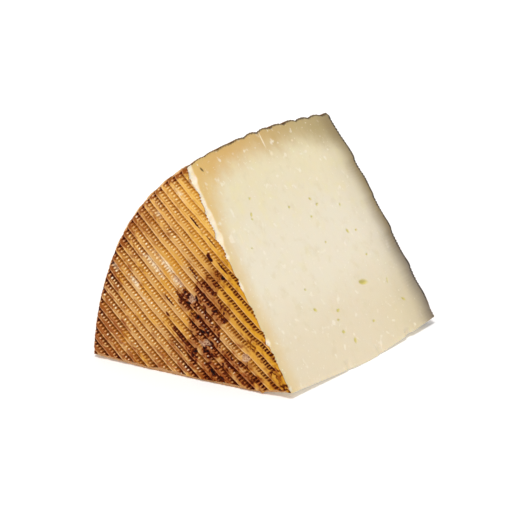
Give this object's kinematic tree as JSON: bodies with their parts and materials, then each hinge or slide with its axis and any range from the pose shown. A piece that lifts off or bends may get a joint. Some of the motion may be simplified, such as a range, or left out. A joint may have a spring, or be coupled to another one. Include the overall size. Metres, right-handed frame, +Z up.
{
  "type": "cheese wedge",
  "caption": "Thick wedge of hard pressed cheese with a ribbed, woven-patterned rind on the outside and smooth pale paste on the cuts.",
  "frame": {"origin": "centre of the bounding box in X and Y, on the surface that the wedge rests on", "axes": "+Z up; the wheel's axis runs along +Y, low down at +X; the ribbed flat face of the wheel faces -Y, the curved side faces -X and up, the open cut faces +X and up, and the wedge rests on its lower cut"},
  "size_m": [0.1039, 0.1088, 0.0893],
  "materials": {
    "paste": "smooth, slightly waxy ivory cheese paste, tan under the rind",
    "rind": "ribbed golden brown rind with a thin waxy sheen and darker mould stains"
  },
  "bodies": {
    "root": {"cheese": "paste"}
  },
  "joints": []
}
